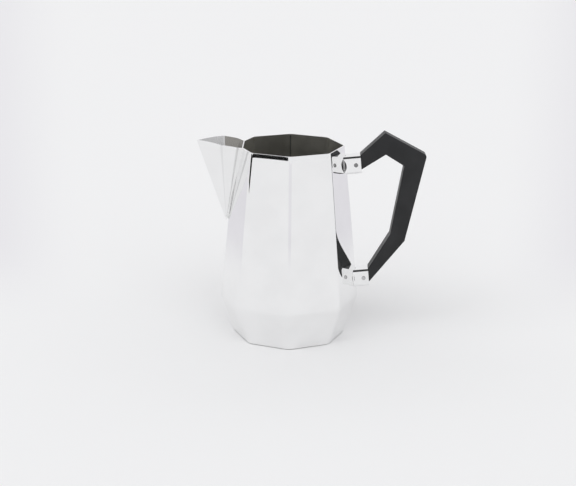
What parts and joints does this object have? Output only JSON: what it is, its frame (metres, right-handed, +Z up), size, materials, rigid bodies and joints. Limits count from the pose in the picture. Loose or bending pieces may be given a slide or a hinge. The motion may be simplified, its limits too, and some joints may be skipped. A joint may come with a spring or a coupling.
{
  "type": "serving jug",
  "caption": "Eight-sided polished steel serving jug without a lid, with a folded beak spout and a flat black angular handle riveted into two square sockets.",
  "frame": {"origin": "on the jug's axis, on the plane that it stands on", "axes": "+Z up, +X from the axis to the handle, so that the spout points along -X"},
  "size_m": [0.1783, 0.1098, 0.1642],
  "materials": {
    "polished_steel": "mirror polished stainless steel",
    "rivet_steel": "plain set rivet heads",
    "black_handle": "matt black moulded plastic"
  },
  "bodies": {
    "root": {"body_shell": "polished_steel", "base_plate": "polished_steel", "spout": "polished_steel", "upper_socket": "polished_steel", "lower_socket": "polished_steel", "upper_rivet": "rivet_steel", "lower_rivet": "rivet_steel", "handle_grip": "black_handle"}
  },
  "joints": []
}
